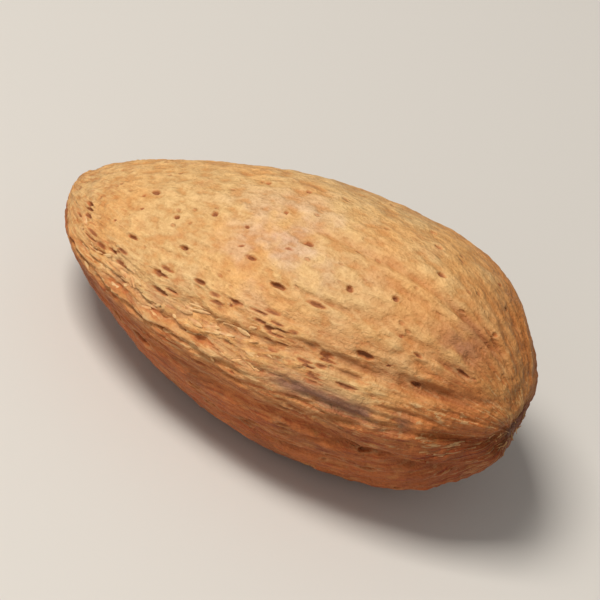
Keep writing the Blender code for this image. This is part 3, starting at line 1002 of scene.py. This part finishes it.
    roughness = math_of(tree, "MULTIPLY_ADD", mottle, 0.22, 0.50)
    roughness = math_of(tree, "MULTIPLY_ADD", pore, 0.15, roughness)
    tree.links.new(roughness, surface.inputs["Roughness"])
    surface.inputs["Specular IOR Level"].default_value = SHELL_SPECULAR

    height = math_of(tree, "MULTIPLY_ADD", mottle, 1.1, times(fibre.outputs["Height"], fibrous))
    height = math_of(tree, "MULTIPLY_ADD", speckle, 0.35, height)
    height = math_of(tree, "MULTIPLY_ADD", dots, -0.30, height)
    feeds = {"Height": height, "Strength": 1.0, "Distance": FINE_RELIEF}
    bump = add_node(tree, "ShaderNodeBump", feeds)
    tree.links.new(bump.outputs["Normal"], surface.inputs["Normal"])
    return material


surface_values = {
    "Pores": pores,
    "Pit Depth": 0.80,
    "Lip Height": 0.04 * MM,
    "Peel Height": 0.42 * MM,
    "Peel Steps": 8.0,
    "Flake Height": 0.30 * MM,
    "Grain Height": 0.36 * MM,
    "Pebble Height": 0.06 * MM,
    "Surface Material": shell_material(),
}
finished = run_tree(shell, surface_tree(surface_values), surface_values)
finished.name = "almond_shell"
shell.data = finished
shell.data.shade_smooth()
bpy.data.objects.remove(pores)
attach(shell, "root")
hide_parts("almond")


# Loose flakes and fibres
# Scraps of the outer layers still cling above the seam, and frayed ends of vessels stand round
# the scar of the stalk. Each is a thin closed sliver of the same wood.

SLIVER_SEED = 53
FLAKES = 75
FLAKE_SHARES = (0.42, 0.95)
FLAKE_PLACE = 1.7 * MM
FLAKE_SPREAD = 1.2 * MM
FLAKE_YAW = 0.30
FLAKE_LENGTHS = (0.6 * MM, 1.5 * MM)
FLAKE_WIDTHS = (0.18 * MM, 0.38 * MM)
FLAKE_THICKNESS = 0.08 * MM
FIBRES = 22
FIBRE_RING = (0.75, 1.10)  # in half lengths and half widths of the scar
FIBRE_YAW = 0.7
FIBRE_TONE = 0.3
FIBRE_LENGTHS = (0.5 * MM, 1.0 * MM)
FIBRE_WIDTHS = (0.05 * MM, 0.11 * MM)
SLIVER_RINGS = 5
SLIVER_CURL = 1.3


def sliver_mesh():
    """A thin closed sliver, one long, one wide and one thick, with its front end curled up."""
    sliver = bmesh.new()
    rings = []
    for n in range(SLIVER_RINGS):
        at = n / (SLIVER_RINGS - 1)
        half = 0.5 * math.sin(math.pi * (0.10 + 0.80 * at))
        lift = SLIVER_CURL * at * at
        corners = ((half, 0.0), (0.1 * half, 0.5), (-half, 0.0), (0.0, -0.5))
        rings.append([sliver.verts.new((at - 0.5, y, z + lift)) for y, z in corners])
    for behind, ahead in zip(rings, rings[1:]):
        for n in range(4):
            turned_on = (n + 1) % 4
            sliver.faces.new((behind[n], behind[turned_on], ahead[turned_on], ahead[n]))
    sliver.faces.new(rings[0])
    sliver.faces.new(rings[-1])
    bmesh.ops.recalc_face_normals(sliver, faces=sliver.faces)
    mesh = bpy.data.meshes.new("sliver")
    sliver.to_mesh(mesh)
    sliver.free()
    return mesh


def sliver_places():
    """(station, bearing, yaw, length, width, thickness, tone) of every flake and fibre."""
    draw = random.Random(SLIVER_SEED)
    places = []
    for _ in range(FLAKES):
        share_there = draw.uniform(*FLAKE_SHARES)
        station_there = math.acos(1.0 - 2.0 * share_there)
        crest_bearing = -float(from_crest(share_there, 0.0, 1.0))
        body = body_point(station_there, crest_bearing)
        aside = draw.gauss(FLAKE_PLACE, FLAKE_SPREAD) / math.hypot(body[1], body[2])
        yaw = draw.gauss(0.0, FLAKE_YAW) + draw.choice((0.0, math.pi))
        size = (draw.uniform(*FLAKE_LENGTHS), draw.uniform(*FLAKE_WIDTHS), FLAKE_THICKNESS)
        places.append((station_there, crest_bearing + aside, yaw, *size, draw.random()))
    for _ in range(FIBRES):
        around = draw.uniform(0.0, 2 * math.pi)
        beyond = draw.uniform(*FIBRE_RING)
        y = SCAR_SETBACK + beyond * SCAR_HALF_LENGTH * math.cos(around)
        z = beyond * SCAR_HALF_WIDTH * math.sin(around)
        swell = SEAM_REACH * (1.0 + SEAM_SWELL) if y < 0 else BACK_REACH * (1.0 + BACK_SWELL)
        to_seam, up = -y / swell, z / (THICKNESS / 2 * (1.0 + FACE_SWELL))
        yaw = draw.gauss(0.0, FIBRE_YAW) + draw.choice((0.0, math.pi))
        thin = draw.uniform(*FIBRE_WIDTHS)
        size = (draw.uniform(*FIBRE_LENGTHS), thin, thin)
        station_there = math.asin(math.hypot(to_seam, up))
        places.append((station_there, math.atan2(up, to_seam), yaw, *size, FIBRE_TONE))
    return places


def sliver_points(places):
    """A cloud of loose points that carries each sliver's direction, size and tone."""
    cloud = bpy.data.meshes.new("loose_slivers")
    stations, bearings, yaws, lengths, widths, thicknesses, tones = map(np.array, zip(*places))
    yaws = yaws[:, None]
    at = smooth_body(stations, bearings)
    lengthwise = smooth_body(stations + STATION_STEP, bearings) - at
    lengthwise /= np.linalg.norm(lengthwise, axis=1, keepdims=True)
    crosswise = np.cross(outward(at), lengthwise)
    heading = np.cos(yaws) * lengthwise + np.sin(yaws) * crosswise
    cloud.from_pydata((at @ level_turn.T + shift).tolist(), [], [])
    store(cloud, "heading", heading @ level_turn.T)
    store(cloud, "size", np.stack([lengths, widths, thicknesses], axis=-1))
    store(cloud, "tone", tones)
    return cloud


def sliver_tree(values):
    """Sets one sliver on each point of the cloud, where the shell's surface is nearest."""
    tree, given = new_geometry_tree("loose_slivers", values)
    surface = add_node(tree, "GeometryNodeObjectInfo", {"Object": given["Shell"]})
    shape = add_node(tree, "GeometryNodeObjectInfo", {"Object": given["Sliver"]})

    def on_shell(kind):
        feeds = {"Mesh": surface.outputs["Geometry"], "Value": tree.nodes.new(kind).outputs[0]}
        made = add_node(tree, "GeometryNodeSampleNearestSurface", feeds, data_type="FLOAT_VECTOR")
        return made.outputs["Value"]

    normal = on_shell("GeometryNodeInputNormal")
    sunk = vector_of(tree, "SCALE", normal, math_of(tree, "MULTIPLY", given["Sink"], -1.0))
    feeds = {
        "Geometry": given["Geometry"],
        "Position": on_shell("GeometryNodeInputPosition"),
        "Offset": sunk,
    }
    body = add_node(tree, "GeometryNodeSetPosition", feeds).outputs[0]
    feeds = {"Primary Axis": normal, "Secondary Axis": named(tree, "heading", "FLOAT_VECTOR")}
    axes = {"primary_axis": "Z", "secondary_axis": "X"}
    rotation = add_node(tree, "FunctionNodeAxesToRotation", feeds, **axes).outputs[0]
    low_tilt = math_of(tree, "MULTIPLY", given["Tilt"], -1.0)
    drawn = add_node(tree, "FunctionNodeRandomValue", {"Seed": SLIVER_SEED}, data_type="FLOAT_VECTOR")
    tree.links.new(low_tilt, drawn.inputs["Min"])
    tree.links.new(given["Tilt"], drawn.inputs["Max"])
    tilted = add_node(tree, "FunctionNodeEulerToRotation", {"Euler": drawn.outputs["Value"]})
    feeds = {"Rotation": rotation, "Rotate By": tilted.outputs[0]}
    rotation = add_node(tree, "FunctionNodeRotateRotation", feeds, rotation_space="LOCAL").outputs[0]
    feeds = {
        "Points": body,
        "Instance": shape.outputs["Geometry"],
        "Rotation": rotation,
        "Scale": named(tree, "size", "FLOAT_VECTOR"),
    }
    body = add_node(tree, "GeometryNodeInstanceOnPoints", feeds).outputs[0]
    end_tree(tree, body, given["Loose Material"])
    return tree


def loose_material():
    material, tree, surface = new_material("loose_wood")
    tone = add_node(tree, "ShaderNodeAttribute", attribute_name="tone").outputs["Fac"]
    where = add_node(tree, "ShaderNodeTexCoord").outputs["Object"]
    mottle = noise_of(tree, where, 2400.0, detail=3.0, roughness=0.6)
    colour = laid_over(tree, tone, GOLD_SKIN, STRAW_SKIN)
    colour = laid_over(tree, eased(tree, mottle, 0.60, 0.35, 0.0, 0.45), colour, RED_WOOD)
    tree.links.new(colour, surface.inputs["Base Color"])
    surface.inputs["Roughness"].default_value = 0.62
    return material


sliver = add_object("sliver", sliver_mesh())
loose = add_object("loose_slivers", sliver_points(sliver_places()))
sliver_values = {
    "Shell": shell,
    "Sliver": sliver,
    "Sink": 0.03 * MM,
    "Tilt": math.radians(6.0),
    "Loose Material": loose_material(),
}
loose.data = run_tree(loose, sliver_tree(sliver_values), sliver_values)
bpy.data.objects.remove(sliver)
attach(loose, "root")

# The table
# A plain pale top, wide enough that its edge is never seen.

TABLE_HALF = 1.5
TABLE_DROP = 0.02 * MM
TABLE_COLOUR = (0.62, 0.595, 0.56, 1.0)
TABLE_CORNERS = ((-1, -1), (1, -1), (1, 1), (-1, 1))

table_mesh = bpy.data.meshes.new("table_top")
corners = [(TABLE_HALF * x, TABLE_HALF * y, -TABLE_DROP) for x, y in TABLE_CORNERS]
table_mesh.from_pydata(corners, [], [(0, 1, 2, 3)])
table = add_object("table_top", table_mesh)
paint, _, matt = new_material("table_paint")
matt.inputs["Base Color"].default_value = TABLE_COLOUR
matt.inputs["Roughness"].default_value = 0.6
table_mesh.materials.append(paint)

# The light
# A soft lamp high on the left in front, as by a window, with a broad weak one lower in front of
# the seam and a faint glow all round.

MIDDLE = Vector((0.0, 0.0, 9.3 * MM))
ROOM_TINT = (1.0, 0.97, 0.93, 1.0)
ROOM_GLOW = 0.26


def add_lamp(name, place, size, watts, tint):
    lamp = bpy.data.lights.new(name, "AREA")
    lamp.size = size
    lamp.energy = watts
    lamp.color = tint
    obj = add_object(name, lamp)
    obj.location = MIDDLE + Vector(place)
    obj.rotation_euler = (-Vector(place)).to_track_quat("-Z", "Y").to_euler()


add_lamp("key", (-0.17, -0.16, 0.43), 0.16, 2.47, (1.0, 0.96, 0.90))
add_lamp("fill", (-0.08, -0.50, 0.24), 0.50, 0.62, (1.0, 0.98, 0.95))
world = bpy.data.worlds.new("room")
world.use_nodes = True
glow = world.node_tree.nodes["Background"].inputs
glow["Color"].default_value = ROOM_TINT
glow["Strength"].default_value = ROOM_GLOW
bpy.context.scene.world = world
bpy.context.scene.view_settings.view_transform = "Standard"

# The camera
# A long lens from in front of the seam, with the tip of the nut turned up to the left.

VIEW_AZIMUTH = math.radians(12.8)
VIEW_ELEVATION = math.radians(39.7)
VIEW_TILT = math.radians(27.3)
VIEW_DISTANCE = 0.50
VIEW_WIDTH = 43.0 * MM

right = Vector((math.cos(VIEW_AZIMUTH), math.sin(VIEW_AZIMUTH), 0.0))
level_share = math.cos(VIEW_ELEVATION)
x, y = math.sin(VIEW_AZIMUTH) * level_share, -math.cos(VIEW_AZIMUTH) * level_share
back = Vector((x, y, math.sin(VIEW_ELEVATION)))
up = back.cross(right)
tilted_right = right * math.cos(VIEW_TILT) + up * math.sin(VIEW_TILT)
tilted_up = back.cross(tilted_right)
lens = bpy.data.cameras.new("camera")
lens.sensor_width = 36.0
lens.lens = lens.sensor_width * VIEW_DISTANCE / VIEW_WIDTH
camera = add_object("camera", lens)
turn = Matrix((tilted_right, tilted_up, back)).transposed().to_4x4()
camera.matrix_world = Matrix.Translation(MIDDLE + back * VIEW_DISTANCE) @ turn
bpy.context.scene.camera = camera
